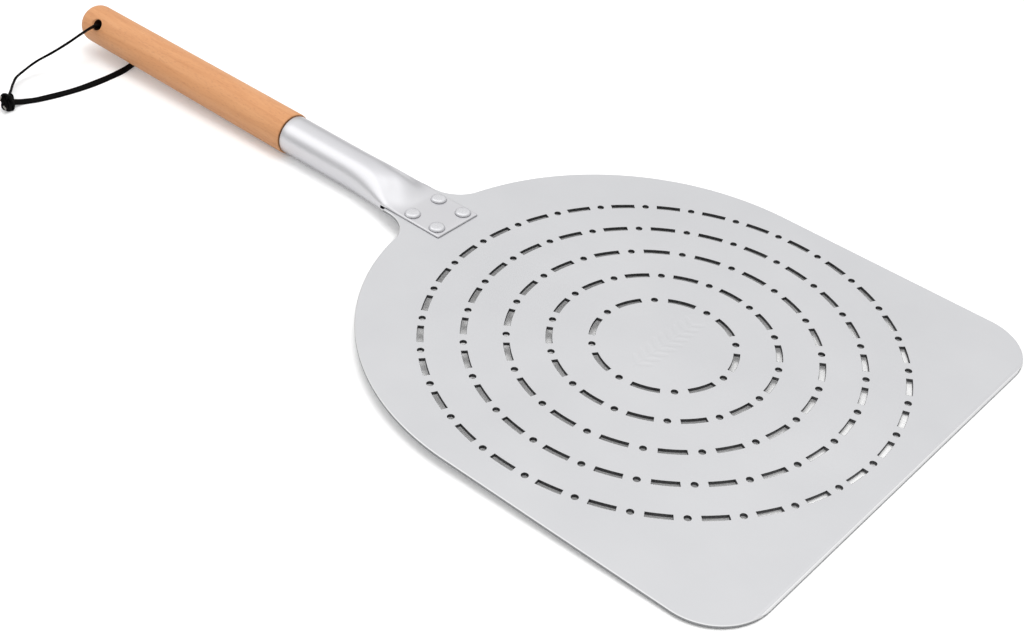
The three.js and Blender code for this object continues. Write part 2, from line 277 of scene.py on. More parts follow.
def blade_outline():
    """The sheet's outline, counter-clockwise seen from above."""
    arc_centre = BLADE_BACK + HALF_WIDTH
    corner_x = BLADE_FRONT - FRONT_CORNER_RADIUS
    corner_y = HALF_WIDTH - FRONT_CORNER_RADIUS
    fillet_y = TANG_HALF_WIDTH + TANG_FILLET_RADIUS
    reach = HALF_WIDTH + TANG_FILLET_RADIUS
    fillet_x = arc_centre - math.sqrt(reach ** 2 - fillet_y ** 2)
    join = math.atan2(fillet_y, fillet_x - arc_centre)
    kink = math.acos((BLADE_FRONT - FRONT_BEVEL_LENGTH - corner_x) / FRONT_CORNER_RADIUS)
    half = np.concatenate([
        arc(corner_x, corner_y, FRONT_CORNER_RADIUS, 0, kink, 8)[:-1],
        arc(corner_x, corner_y, FRONT_CORNER_RADIUS, kink, math.pi / 2, 26),
        arc(arc_centre, 0, HALF_WIDTH, math.pi / 2, join, 110),
        arc(fillet_x, fillet_y, TANG_FILLET_RADIUS, join - math.pi, -math.pi / 2, 22)[1:],
        np.array([[TANG_END, TANG_HALF_WIDTH]]),
    ])
    mirrored = (half * [1, -1])[::-1]
    return np.concatenate([half, mirrored])


def hole_loops():
    """Every hole, slot and rivet hole as a clockwise loop."""
    loops = []
    for ring, count in enumerate(HOLES_PER_RING):
        radius = FIRST_RING_RADIUS + ring * RING_PITCH
        pitch = 2 * math.pi / count
        for i in range(count):
            angle = i * pitch
            centre = radius * np.array([math.cos(angle), math.sin(angle)])
            loops.append(arc(*centre, HOLE_RADIUS, 2 * math.pi, 0, 28)[:-1])
            angle += pitch / 2
            half = SLOT_SHARE * pitch / 2
            steps = max(4, round(radius * half / SLOT_STEP))
            outer = arc(0, 0, radius + SLOT_WIDTH / 2, angle + half, angle - half, steps)
            inner = arc(0, 0, radius - SLOT_WIDTH / 2, angle - half, angle + half, steps)
            loops.append(np.concatenate([outer, inner]))
    for node in RIVET_NODES:
        loops.append(arc(*node_centre(node)[:2], RIVET_HOLE_RADIUS, 2 * math.pi, 0, 24)[:-1])
    return loops


def offset_loop(points, inset):
    """Moves a closed loop to its left, into the sheet."""
    after = unit(np.roll(points, -1, axis=0) - points)
    before = np.roll(after, 1, axis=0)
    n_after = np.stack([-after[:, 1], after[:, 0]], axis=1)
    n_before = np.stack([-before[:, 1], before[:, 0]], axis=1)
    mitre = (n_after + n_before) / (1 + np.sum(n_after * n_before, axis=1, keepdims=True))
    return points + inset * mitre


def sheet_top(x):
    """Height of the top face: level, then rounded down to the lip at the front."""
    share = np.maximum(0, x - BLADE_FRONT + FRONT_BEVEL_LENGTH) / FRONT_BEVEL_LENGTH
    return THICKNESS - (THICKNESS - FRONT_LIP_HEIGHT) * share ** FRONT_BEVEL_POWER


def fill(points, loops, extra_edges=()):
    """Triangles of the region that lies to the left of every closed loop of indices."""
    directed = set()
    for loop in loops:
        directed.update(zip(loop, loop[1:] + loop[:1]))
    edges = list(directed) + list(extra_edges)
    flat = [Vector(p) for p in points]
    _, _, triangles, origin, _, _ = delaunay_2d_cdt(flat, edges, [], 0, 1e-7)
    index = [o[0] for o in origin]
    tris = [[index[v] for v in t] for t in triangles]
    owner = {}
    for t, (a, b, c) in enumerate(tris):
        pa, pb, pc = points[a], points[b], points[c]
        if (pb[0] - pa[0]) * (pc[1] - pa[1]) - (pb[1] - pa[1]) * (pc[0] - pa[0]) < 0:
            tris[t] = [a, c, b]
        a, b, c = tris[t]
        for edge in ((a, b), (b, c), (c, a)):
            owner[edge] = t
    inside = {owner[e] for e in directed if e in owner}
    queue = list(inside)
    while queue:
        a, b, c = tris[queue.pop()]
        for edge in ((a, b), (b, c), (c, a)):
            back = (edge[1], edge[0])
            if edge in directed or back in directed or back not in owner:
                continue
            if owner[back] not in inside:
                inside.add(owner[back])
                queue.append(owner[back])
    return [tris[t] for t in sorted(inside)]


# ---- the mark pressed into the blade

MARK_HALF = (12.0, 31.0)
MARK_STEP = 0.42
MARK_DEPTH = 0.075
STEM_HALF_LENGTH = 27.5
STEM_HALF_WIDTH = 0.55
STEM_WAVE = 0.6
LEAF_PAIRS = 9
FIRST_LEAF = -24.0
LEAF_PITCH = 6.0
LEAF_LENGTH = 10.5
LEAF_LEAN = math.radians(40)


def mark_depth(x, y):
    """Depth of the pressed mark in the middle of the sheet: a plain sprig of leaves lying across it."""
    stem = np.exp(-((x - STEM_WAVE * np.sin(y / 14)) / STEM_HALF_WIDTH) ** 2)
    depth = stem * smoothstep(STEM_HALF_LENGTH - np.abs(y), 0, 2)
    for k in range(LEAF_PAIRS):
        root = FIRST_LEAF + LEAF_PITCH * k
        length = LEAF_LENGTH - 0.55 * abs(k - 3.5)
        for side in (1, -1):
            axis = np.array([side * math.cos(LEAF_LEAN), math.sin(LEAF_LEAN)])
            across = x * axis[0] + (y - root) * axis[1] - length / 2
            over = -x * axis[1] + (y - root) * axis[0]
            leaf = np.hypot(across / (length / 2), over / (0.16 * length))
            depth = np.maximum(depth, smoothstep(1.25 - leaf, 0, 0.5))
    return MARK_DEPTH * depth


# ---- the blade's mesh

# the edge, punched-wall and underside metals are darker copies of the sheet's metal that paint shade; the
# rim and planed metals are brighter copies that paint highlights
SHEET, SHADED_EDGE, PLANED_HIGHLIGHT, SHADED_PUNCHED, SHADED_UNDERSIDE, RIM_HIGHLIGHT = range(6)


def edge_slot(row, full_height):
    """Material of a face of the outer edge: a brighter metal along its upper round as a painted highlight, a
    darker metal below it as painted shade, and on the front lip's top row the planed metal, brightened as a
    painted highlight.
    """
    if row < 2 and full_height:
        return RIM_HIGHLIGHT
    return PLANED_HIGHLIGHT if row < 1 else SHADED_EDGE


def make_blade():
    outline = blade_outline()
    loops = [(outline, SHEET_EDGE_ROUND)] + [(loop, HOLE_EDGE_ROUND) for loop in hole_loops()]
    verts, faces, flat, slots = [], [], [], []
    count = 0
    top_loops, bottom_loops = [], []
    for order, (points, edge_round) in enumerate(loops):
        n = len(points)
        bends = [(edge_round * (1 - math.sin(a)), edge_round * (1 - math.cos(a)))
                 for a in np.radians([0, 30, 60, 90])]
        rows = [(*bend, True) for bend in bends] + [(*bend, False) for bend in bends[::-1]]
        starts = []
        # the thin front lip gets a smaller round than the full sheet
        lip = np.minimum(1.0, LIP_ROUND_SHARE * sheet_top(points[:, 0]) / edge_round)
        for inset, drop, upper in rows:
            ring = offset_loop(points, (inset * lip)[:, None])
            z = sheet_top(ring[:, 0]) - drop * lip if upper else drop * lip
            starts.append(count)
            verts.append(np.column_stack([ring, z]))
            count += n
        for row, (a, b) in enumerate(zip(starts, starts[1:])):
            for j in range(n):
                k = (j + 1) % n
                faces.append((a + j, b + j, b + k, a + k))
                flat.append(False)
                # the walls of the holes take a near-black metal as painted shade
                slots.append(SHADED_PUNCHED if order else edge_slot(row, lip[j] == 1))
        top_loops.append(list(range(starts[0], starts[0] + n)))
        bottom_loops.append(list(range(starts[-1], starts[-1] + n)))
    # a fine grid in the middle carries the pressed mark
    xs = np.linspace(-MARK_HALF[0], MARK_HALF[0], round(2 * MARK_HALF[0] / MARK_STEP) + 1)
    ys = np.linspace(-MARK_HALF[1], MARK_HALF[1], round(2 * MARK_HALF[1] / MARK_STEP) + 1)
    grid_x, grid_y = (g.ravel() for g in np.meshgrid(xs, ys))
    verts.append(np.column_stack([grid_x, grid_y, THICKNESS - mark_depth(grid_x, grid_y)]))
    nx, ny = len(xs), len(ys)
    for j in range(ny - 1):
        for i in range(nx - 1):
            corner = count + j * nx + i
            faces.append((corner, corner + 1, corner + nx + 1, corner + nx))
            flat.append(False)
            slots.append(SHEET)
    rim = ([count + i for i in range(nx)] + [count + j * nx + nx - 1 for j in range(1, ny)]
           + [count + (ny - 1) * nx + i for i in range(nx - 2, -1, -1)]
           + [count + j * nx for j in range(ny - 2, 0, -1)])
    count += nx * ny
    points = np.concatenate(verts)

    def filled(loop_list, extra=()):
        used = sorted({v for loop in loop_list for v in loop})
        local = {v: i for i, v in enumerate(used)}
        flat_points = [tuple(points[v, :2]) for v in used]
        local_loops = [[local[v] for v in loop] for loop in loop_list]
        local_extra = [(local[a], local[b]) for a, b in extra]
        return [[used[v] for v in t] for t in fill(flat_points, local_loops, local_extra)]

    start_x = BLADE_FRONT - FRONT_BEVEL_LENGTH
    rim_top = top_loops[0]
    strips = [(rim_top[i], rim_top[-1 - i]) for i in range(len(rim_top) // 2)
              if start_x - 1e-6 < outline[i][0] < BLADE_FRONT - 1e-6]
    top = filled(top_loops + [rim[::-1]], strips)
    bottom = [t[::-1] for t in filled(bottom_loops)]
    faces += top + bottom
    rear = [points[t, 0].min() for t in top]
    flat += [x <= start_x - BEVEL_OVERLAP for x in rear] + [True] * len(bottom)
    # the front band of the top takes the planed metal, brighter than the sheet as a painted highlight
    slots += [PLANED_HIGHLIGHT if x > BLADE_FRONT - PLANED_LENGTH else SHEET for x in rear]
    # the underside takes a darker copy of the sheet's metal as painted shade
    slots += [SHADED_UNDERSIDE] * len(bottom)
    return make_object("blade_sheet", points, faces, flat, slots)


# ---- handle tube

def pressed_height(x, start, lateness):
    """A height of the wall's mid-line on its way from the round tube down to the closed tongues."""
    press = smoothstep(x, start, FLATTENING_END) ** lateness
    return (TUBE_RADIUS - TUBE_WALL / 2) * (1 - press) + FLAT_MID_HEIGHT * press


def section_point(x, angle, offset):
    """A point of the pressed section: an angle round the tube from its top, an offset from its mid-line."""
    round_radius = TUBE_RADIUS - TUBE_WALL / 2
    bend = pressed_height(x, FLATTENING_START, SIDE_LATENESS)
    crown = pressed_height(x, CROWN_START, CROWN_LATENESS)
    span = math.pi * (round_radius - bend) / 2
    way = np.abs(angle) * round_radius
    turn = np.clip((way - span) / bend, 0, math.pi)
    across = np.minimum(way, span)
    across = np.where(turn >= math.pi, 2 * span + math.pi * bend - way, across)
    reach = bend + offset
    out = across + reach * np.sin(turn)
    arch = (crown - bend) * np.cos(np.minimum(1, out / (span + bend)) * math.pi / 2) ** 2
    up = reach * np.cos(turn) + np.where(turn < math.pi / 2, arch, -arch)
    return np.stack([np.sign(angle) * out, up], axis=-1)


def section_angle(x, offset, half_width=None, height=None):
    """The angle at which a face of the section reaches a half width, or comes down to a height."""
    low, high = 0.0, math.pi / 2
    for _ in range(40):
        middle = (low + high) / 2
        point = section_point(x, np.array([middle]), offset)[0]
        before = point[0] < half_width if height is None else point[1] > height
        low, high = (middle, high) if before else (low, middle)
    return (low + high) / 2


def make_tube():
    outer_split = section_angle(SLIT_ROOT, TUBE_WALL / 2, height=SLIT_HALF_HEIGHT)
    root_half_width = section_point(SLIT_ROOT, np.array([outer_split]), TUBE_WALL / 2)[0, 0]
    inner_split = section_angle(SLIT_ROOT, -TUBE_WALL / 2, height=SLIT_HALF_HEIGHT)
    over, side = 26, 4
    verts, faces = [], []

    def ring_angles(split):
        top = np.linspace(-split, split, 2 * over + 1)
        near = np.linspace(split, math.pi - split, side + 1)[1:]
        bottom = np.linspace(math.pi - split, math.pi + split, 2 * over + 1)[1:]
        far = np.linspace(math.pi + split, 2 * math.pi - split, side + 1)[1:-1]
        angles = np.concatenate([top, near, bottom, far])
        return np.where(angles > math.pi, angles - 2 * math.pi, angles)

    def add(points_yz, x):
        start = sum(len(v) for v in verts)
        verts.append(np.column_stack([np.full(len(points_yz), x), points_yz + [0, AXIS_HEIGHT]]))
        return list(range(start, start + len(points_yz)))

    stations = np.concatenate([
        [TUBE_GRIP_END], np.linspace(TUBE_GRIP_END + 5, FLATTENING_START, 10),
        np.linspace(FLATTENING_START, SLIT_ROOT, 50)[1:],
    ])
    outer_rings = [add(section_point(x, ring_angles(outer_split), TUBE_WALL / 2), x) for x in stations]
    inner_rings = [add(section_point(x, ring_angles(inner_split), -TUBE_WALL / 2), x) for x in stations]
    ring = len(outer_rings[0])
    for rings in (outer_rings, inner_rings):
        for low, high in zip(rings, rings[1:]):
            faces += [(low[i], high[i], high[(i + 1) % ring], low[(i + 1) % ring]) for i in range(ring)]
    low, high = outer_rings[0], inner_rings[0]
    faces += [(low[i], low[(i + 1) % ring], high[(i + 1) % ring], high[i]) for i in range(ring)]
    low, high = outer_rings[-1], inner_rings[-1]
    for first in (2 * over, 4 * over + side):
        faces += [(low[i], low[(i + 1) % ring], high[(i + 1) % ring], high[i])
                  for i in range(first, first + side)]

    # each station of a tongue: its place, and how far the rounded end has drawn the section in
    end_start = TONGUE_FRONT - TONGUE_EDGE_ROUND
    bends = np.radians([22.5, 45, 67.5, 90])
    tongue_stations = [(x, 0.0) for x in np.linspace(SLIT_ROOT, FLATTENING_END, 24)]
    tongue_stations += [(x, 0.0) for x in np.linspace(FLATTENING_END, end_start, 9)[1:]]
    for angle in bends:
        tongue_stations.append((TONGUE_FRONT - TONGUE_EDGE_ROUND * (1 - math.sin(angle)),
                                TONGUE_EDGE_ROUND * (1 - math.cos(angle))))
    share = np.linspace(-1, 1, 2 * over + 1)
    for flip in (1, -1):
        rings = []
        for x, inset in tongue_stations:
            trim = smoothstep(x, SLIT_ROOT, SLIT_ROOT + 5)
            half_width = root_half_width * (1 - trim) + TONGUE_HALF_WIDTH * trim - inset
            edge_round = TONGUE_EDGE_ROUND * smoothstep(x, SLIT_ROOT, SLIT_ROOT + 3) - inset
            face = TUBE_WALL / 2 - inset
            outer_edge = outer_split
            if x > SLIT_ROOT:
                outer_edge = section_angle(x, face, half_width=half_width - edge_round)
            inner_edge = section_angle(x, -TUBE_WALL / 2, height=SLIT_HALF_HEIGHT)
            outer = section_point(x, share * outer_edge, face)
            inner = section_point(x, share * inner_edge, -TUBE_WALL / 2)
            inner[:, 1] = np.maximum(inner[:, 1], SLIT_HALF_HEIGHT)
            rounded = np.column_stack([half_width - edge_round * (1 - np.sin(bends)),
                                       outer[-1, 1] - edge_round * (1 - np.cos(bends))])
            side = np.concatenate([rounded, [[half_width, SLIT_HALF_HEIGHT]]])
            loop = np.concatenate([outer, side, inner[::-1], side[::-1] * [-1, 1]])
            rings.append(add(loop * [1, flip], x))
        n = len(rings[0])
        for low, high in zip(rings, rings[1:]):
            faces += [(low[i], high[i], high[(i + 1) % n], low[(i + 1) % n]) for i in range(n)]
        end = rings[-1]
        last = 2 * over
        inside = last + len(bends) + 2
        faces += [(end[i], end[i + 1], end[inside + last - i - 1], end[inside + last - i])
                  for i in range(last)]
        faces.append(end[last:inside + 1])
        faces.append(end[inside + last:] + end[:1])

    tube = make_object("handle_tube_shell", np.concatenate(verts), faces)
    recalc_normals(tube, 2e-6)
    cutters = [pin_cutter(RIVET_HOLE_RADIUS, -9, 9, [*node_centre(node)[:2], AXIS_HEIGHT])
               for node in RIVET_NODES]
    cutters.append(pin_cutter(SCREW_HOLE_RADIUS, -16, -8, [*node_centre("grip_screw")[:2], AXIS_HEIGHT]))
    cut(tube, cutters)
    bevel(tube, 0.22, 2, 55)
    shade_by_angle(tube, 35)
    return tube


# ---- rivets and screw

# shares of the head's radius and of its height over the seat, from the crown outwards
RIVET_HEAD = ((0, 1), (0.25, 0.998), (0.5, 0.985), (0.68, 0.955), (0.78, 0.90), (0.86, 0.81), (0.92, 0.67),
              (0.965, 0.47), (0.99, 0.22), (1.0, 0.06), (0.985, 0))
RIVET_TAIL = ((0.95, 0.12), (0.93, 0.45), (0.86, 0.72), (0.7, 0.9), (0.4, 0.97), (0.38, 0.8), (0.1, 0.74),
              (0, 0.74))
SCREW_HEAD = ((0, 0), (0.3, 0.01), (0.6, 0.08), (0.82, 0.25), (0.95, 0.55), (1, 0.85), (0.99, 1))


def make_rivet(node):
    """A pressed rivet: a low crowned head on the upper tongue, a flatter tail under the lower one."""
    low, high = node_box(node)
    head = (high[0] - low[0]) / 2
    seat = FLAT_MID_HEIGHT + TUBE_WALL / 2 + 0.02
    crown = high[2] - AXIS_HEIGHT - seat
    tail = low[2] - AXIS_HEIGHT + seat
    shank = RIVET_SHANK_RADIUS
    profile = [(radius * head, seat + share * crown) for radius, share in RIVET_HEAD]
    profile += [(shank + 0.1, seat), (shank, seat - 0.1), (shank, -seat + 0.1), (shank + 0.1, -seat),
                (0.93 * head, -seat)]
    profile += [(radius * head, -seat + share * tail) for radius, share in RIVET_TAIL]
    verts, faces = lathe(profile[::-1], 56)
    verts = verts + [*node_centre(node)[:2], AXIS_HEIGHT]
    return make_object(node + "_head", verts, faces, sharp_deg=38)


def make_screw():
    """A small pan head screw with a cross recess, seen from below."""
    low, high = node_box("grip_screw")
    centre = (low + high) / 2
    head = (high[0] - low[0]) / 2
    seat = low[2] + SCREW_HEAD_HEIGHT
    profile = [(radius * head, low[2] + share * SCREW_HEAD_HEIGHT) for radius, share in SCREW_HEAD]
    profile += [(SCREW_RADIUS + 0.1, seat), (SCREW_RADIUS, seat + 0.15)]
    for i, z in enumerate(np.arange(seat + 1.5, high[2] - 3, SCREW_QUARTER_PITCH)):
        profile.append((SCREW_RADIUS if i % 4 < 2 else SCREW_ROOT_RADIUS, z))
    profile += [(1.2, high[2] - 2), (0, high[2])]
    verts, faces = lathe(profile, 40)
    screw = make_object("grip_screw_head", verts + [centre[0], centre[1], 0], faces)
    blades = []
    for turn in (0.4, 0.4 + math.pi / 2):
        c, s = math.cos(turn), math.sin(turn)
        corners = []
        for z, reach in ((low[2] - 0.4, 1.9), (low[2] + 0.55, 1.1)):
            for u, v in ((-reach, -0.35), (reach, -0.35), (reach, 0.35), (-reach, 0.35)):
                corners.append((centre[0] + u * c - v * s, centre[1] + u * s + v * c, z))
        box = [(3, 2, 1, 0), (4, 5, 6, 7)] + [(i, (i + 1) % 4, 4 + (i + 1) % 4, 4 + i) for i in range(4)]
        blades.append(make_object("cutter", corners, box))
    cut(screw, blades)
    shade_by_angle(screw, 38)
    return screw


# ---- wooden grip

def make_grip():
    end_r = GRIP_REAR_RADIUS - GRIP_END_RADIUS
    taper_start = GRIP_REAR + GRIP_END_RADIUS
    taper_end = GRIP_FRONT - SHOULDER_ROUND
    taper = (GRIP_RADIUS - GRIP_REAR_RADIUS) / (taper_end - taper_start)
    profile = [(0, GRIP_REAR - GRIP_END_CROWN)]
    for share in np.linspace(0.15, 1, 7):
        profile.append((end_r * share, GRIP_REAR - GRIP_END_CROWN * (1 - share ** 2)))
    for angle in np.radians(np.linspace(6, 90, 15)):
        profile.append((end_r + GRIP_END_RADIUS * math.sin(angle),
                        GRIP_REAR + GRIP_END_RADIUS * (1 - math.cos(angle))))
    past_bore = BORE_MIDDLE[0] + 9
    for x in np.concatenate([np.linspace(taper_start, past_bore, 14)[1:],
                             np.linspace(past_bore, taper_end, 40)[1:]]):
        profile.append((GRIP_REAR_RADIUS + taper * (x - taper_start), x))
    for angle in np.radians([30, 60, 90]):
        profile.append((GRIP_RADIUS - SHOULDER_ROUND * (1 - math.cos(angle)),
                        GRIP_FRONT - SHOULDER_ROUND * (1 - math.sin(angle))))
    profile += [(SPIGOT_RADIUS, GRIP_FRONT), (SPIGOT_RADIUS, SPIGOT_END - 2),
                (SPIGOT_RADIUS - 2, SPIGOT_END), (0, SPIGOT_END)]
    verts, faces = lathe(profile, 112)
    grip = make_object("beech_grip", placed(verts, (0, 0, AXIS_HEIGHT), (1, 0, 0)), faces)
    recalc_normals(grip)
    reach = GRIP_REAR_RADIUS
    throat = reach - BORE_CHAMFER
    mouth = (BORE_RADIUS + BORE_CHAMFER + 2, reach + 2)
    bore = [(0, -mouth[1]), (mouth[0], -mouth[1]), (BORE_RADIUS + 0.25, -throat - 0.1),
            (BORE_RADIUS, -throat + 0.25), (BORE_RADIUS, throat - 0.25),
            (BORE_RADIUS + 0.25, throat + 0.1), mouth, (0, mouth[1])]
    verts, faces = lathe(bore, 64)
    drill = make_object("cutter", placed(verts, BORE_MIDDLE, BORE_AXIS), faces)
    recalc_normals(drill)
    low, high = node_box("grip_screw")
    pilot = pin_cutter(SCREW_HOLE_RADIUS, low[2] - 2, high[2] + 1, [(low[0] + high[0]) / 2, 0, 0])
    cut(grip, [drill, pilot])
    # faces inside the bore take the near-black wood that paints its shade
    for face in grip.data.polygons:
        away = np.array(face.center) / MM - BORE_MIDDLE
        if np.linalg.norm(away - np.dot(away, BORE_AXIS) * BORE_AXIS) < BORE_RADIUS + 0.2:
            face.material_index = 1
    shade_by_angle(grip, 30)
    return grip


# ---- leather lace

def between(t, start, end, first, last):
    return ((end - t) * first + (t - start) * last) / (end - start)


def catmull(points, per_span):
    """Centripetal Catmull-Rom curve through the points."""
    p = np.asarray(points, float)
    p = np.concatenate([[2 * p[0] - p[1]], p, [2 * p[-1] - p[-2]]])
    out = []
    for i in range(1, len(p) - 2):
        a, b, c, d = p[i - 1:i + 3]
        t0 = 0.0
        t1 = t0 + np.linalg.norm(b - a) ** 0.5
        t2 = t1 + np.linalg.norm(c - b) ** 0.5
        t3 = t2 + np.linalg.norm(d - c) ** 0.5
        for t in np.linspace(t1, t2, per_span, endpoint=False):
            ab, bc, cd = between(t, t0, t1, a, b), between(t, t1, t2, b, c), between(t, t2, t3, c, d)
            out.append(between(t, t1, t2, between(t, t0, t2, ab, bc), between(t, t1, t3, bc, cd)))
    out.append(p[-2])
    return np.array(out)


def lace_section(width, thickness, count=20):
    """A flat strip's section with rounded edges, as (across, up) points."""
    angles = np.linspace(0, 2 * math.pi, count, endpoint=False)
    c, s = np.cos(angles), np.sin(angles)
    power = 0.55
    return np.stack([width / 2 * np.sign(c) * np.abs(c) ** power,
                     thickness / 2 * np.sign(s) * np.abs(s) ** power], axis=1)


def sweep(path, across, section, closed=False, scale=None):
    """Points and faces of a strip swept along a path; across gives its wide direction."""
    n = len(path)
    if closed:
        tangent = unit(np.roll(path, -1, axis=0) - np.roll(path, 1, axis=0))
    else:
        tangent = unit(np.gradient(path, axis=0))
    wide = unit(across - np.sum(across * tangent, axis=1, keepdims=True) * tangent)
    up = np.cross(tangent, wide)
    verts = []
    for i in range(n):
        grow = 1.0 if scale is None else scale[i]
        verts.append(path[i] + grow * (section[:, :1] * wide[i] + section[:, 1:] * up[i]))
    m = len(section)
    faces = []
    for i in range(n if closed else n - 1):
        k = (i + 1) % n
        faces += [(i * m + j, k * m + j, k * m + (j + 1) % m, i * m + (j + 1) % m) for j in range(m)]
    caps = []
    if not closed:
        caps = [tuple(range(m)), tuple((n - 1) * m + j for j in range(m))[::-1]]
    return np.concatenate(verts), faces, caps


KNOT = np.array([-465.7, -95.6, -11.6])
FACING = np.array([0.737, -0.450, 0.504])
LACE_WIDTH = 4.0
LACE_THICKNESS = 1.65
STEPS_PER_STOP = 16


def on_bore(distance, sag=0.0):
    """A point inside the bore, or just outside it, sagging towards its lower side."""
    down = np.array([0.0, -BORE_AXIS[2], BORE_AXIS[1]])
    return BORE_MIDDLE + distance * BORE_AXIS + sag * down


def make_lace():
    mouth = GRIP_REAR_RADIUS
    # each stop has the strip's turn about its own path: 0 shows its face, 90 its edge
    stops = [
        (KNOT, 30), ((-465.9, -84.2, -16), 32), ((-461.7, -75.6, -16), 32), ((-454.8, -48.6, -15.9), 26),
        ((-453.5, -22.6, -15.8), 10), ((-455.5, -5.6, -15.6), 0), ((-461.5, 8.4, -14.9), 0),
        ((-473, 15.5, -12.2), 0), (on_bore(-mouth - 3.2), 20), (on_bore(-mouth + 4), 40),
        (on_bore(0), 60), (on_bore(mouth - 4, 0.8), 60), (on_bore(mouth + 1, 1.6), 75),
        ((-480.3, -22.6, 6.8), 86), ((-481.6, -34.5, 2.8), 88), ((-485.2, -45, -2), 90),
        ((-490, -55, -7), 90), ((-490.9, -64.5, -10.6), 90), ((-489.1, -72.3, -12.2), 88),
        ((-485.5, -77.6, -13.4), 88), ((-477.9, -85.1, -13.6), 86), (KNOT, 80),
    ]
    path = catmull([stop[0] for stop in stops], STEPS_PER_STOP)
    step = np.arange(len(path))
    turns = np.radians(np.interp(step / STEPS_PER_STOP, range(len(stops)), [stop[1] for stop in stops]))
    face_on = unit(np.cross(np.gradient(path, axis=0), FACING))
    across = np.cos(turns)[:, None] * face_on + np.sin(turns)[:, None] * FACING
    grow = 1 + 0.035 * np.sin(step * 0.37) + 0.03 * np.sin(step * 0.11 + 1)
    all_verts, all_faces, slots = [], [], []

    def add(verts, faces, caps):
        start = sum(len(part) for part in all_verts)
        all_verts.append(verts)
        all_faces.extend(tuple(v + start for v in face) for face in faces + caps)
        slots.extend([0] * len(faces) + [1] * len(caps))

    add(*sweep(path, across, lace_section(LACE_WIDTH, LACE_THICKNESS), scale=grow))
    # the tight knot: an overhand turn with two wraps round it, and its two cut ends
    right = unit(np.cross((0, 0, 1), FACING))
    basis = np.stack([right, np.cross(FACING, right), FACING])
    t = np.linspace(0, 2 * math.pi, 120, endpoint=False)
    trefoil = np.stack([np.sin(t) + 2 * np.sin(2 * t), np.cos(t) - 2 * np.cos(2 * t),
                        -1.3 * np.sin(3 * t)], axis=1)
    turns_of_knot = [(trefoil * [0.80, 1.76, 1.1], 2.8, 1.8)]
    for tilt, reach, lift in ((0.42, (2.7, 6.0, 2.6), 0.3), (-0.55, (2.7, 5.9, 2.7), -0.4)):
        ring = np.stack([reach[0] * np.cos(t), reach[1] * np.sin(t) * math.cos(tilt),
                         reach[2] * np.sin(t) * math.sin(tilt) + lift + 0.9 * np.cos(2 * t)], axis=1)
        c, k = math.cos(tilt), math.sin(tilt)
        turns_of_knot.append((ring @ np.array([[c, k, 0], [-k, c, 0], [0, 0, 1]]), 2.7, 1.7))
    for points, width, thickness in turns_of_knot:
        laid = points @ basis + KNOT
        wide = np.cross(np.roll(laid, -1, axis=0) - laid, laid - KNOT)
        add(*sweep(laid, wide, lace_section(width, thickness), closed=True))
    for bend, tip, wide in (((-2.8, 1.6, 2.2), (-4.3, 2.9, 4.9), (0.25, 1, 0.1)),
                            ((-1.0, -2.2, 2.6), (-2.4, -3.6, 5.3), (-0.45, 1, 0.1))):
        tail = catmull([KNOT, KNOT + np.array(bend) @ basis, KNOT + np.array(tip) @ basis], 8)
        across = np.tile(np.array(wide, float) @ basis, (len(tail), 1))
        add(*sweep(tail, across, lace_section(3.0, 1.3)))
    lace = make_object("leather_lace", np.concatenate(all_verts), all_faces, slots=slots, sharp_deg=60)
    recalc_normals(lace)
    return lace


# ---- node materials

class Nodes:
    """A short way to write a material's or world's node tree."""

    def __init__(self, tree):
        self.tree = tree
        tree.nodes.clear()

    def add(self, kind, inputs=None, **settings):
        node = self.tree.nodes.new(kind)
        for key, value in settings.items():
            setattr(node, key, value)
        for key, value in (inputs or {}).items():
            socket = node.inputs[key]
            if isinstance(value, bpy.types.NodeSocket):
                self.tree.links.new(value, socket)
            else:
                socket.default_value = value
        return node

    def math(self, operation, a, b=0.0, c=0.0):
        return self.add("ShaderNodeMath", {0: a, 1: b, 2: c}, operation=operation).outputs[0]

    def ramp(self, factor, stops):
        node = self.add("ShaderNodeValToRGB", {0: factor})
        elements = node.color_ramp.elements
        while len(elements) < len(stops):
            elements.new(0.5)
        for element, (position, colour) in zip(elements, stops):
            element.position = position
            value = colour if isinstance(colour, tuple) else (colour,) * 3
            element.color = (*value, 1)
        return node.outputs[0]

    def mix(self, factor, a, b):
        """A blend of two colours; each is a socket or three numbers."""
        a, b = ((*colour, 1) if isinstance(colour, tuple) else colour for colour in (a, b))
        return self.add("ShaderNodeMix", {0: factor, 6: a, 7: b}, data_type="RGBA").outputs[2]

    def noise(self, vector, detail, roughness, distortion=0.0):
        """Noise along a vector, or along object coordinates scaled by three numbers."""
        if isinstance(vector, tuple):
            vector = self.stretched(vector)
        return self.add("ShaderNodeTexNoise", {"Vector": vector, "Scale": 1.0, "Detail": detail,
                                               "Roughness": roughness, "Distortion": distortion}).outputs[0]

    def stretched(self, scale, rotation=(0, 0, 0)):
        """Object coordinates, in metres, scaled along each axis."""
        inputs = {"Vector": self.add("ShaderNodeTexCoord").outputs["Object"], "Scale": scale,
                  "Rotation": rotation}
        return self.add("ShaderNodeMapping", inputs).outputs[0]

    def bump(self, height, strength, distance, normal=None):
        inputs = {"Height": height, "Strength": strength, "Distance": distance}
        if normal is not None:
            inputs["Normal"] = normal
        return self.add("ShaderNodeBump", inputs).outputs[0]

    def range(self, value, low, high, to_low, to_high):
        return self.add("ShaderNodeMapRange", {0: value, 1: low, 2: high, 3: to_low, 4: to_high}).outputs[0]


def material(name):
    made = bpy.data.materials.new(name)
    made.use_nodes = True
    return made, Nodes(made.node_tree)


def surface(nodes, **inputs):
    """The Principled shader, wired to the output."""
    named = {key.replace("_", " "): value for key, value in inputs.items()}
    shader = nodes.add("ShaderNodeBsdfPrincipled", named)
    nodes.add("ShaderNodeOutputMaterial", {"Surface": shader.outputs[0]})
    return shader


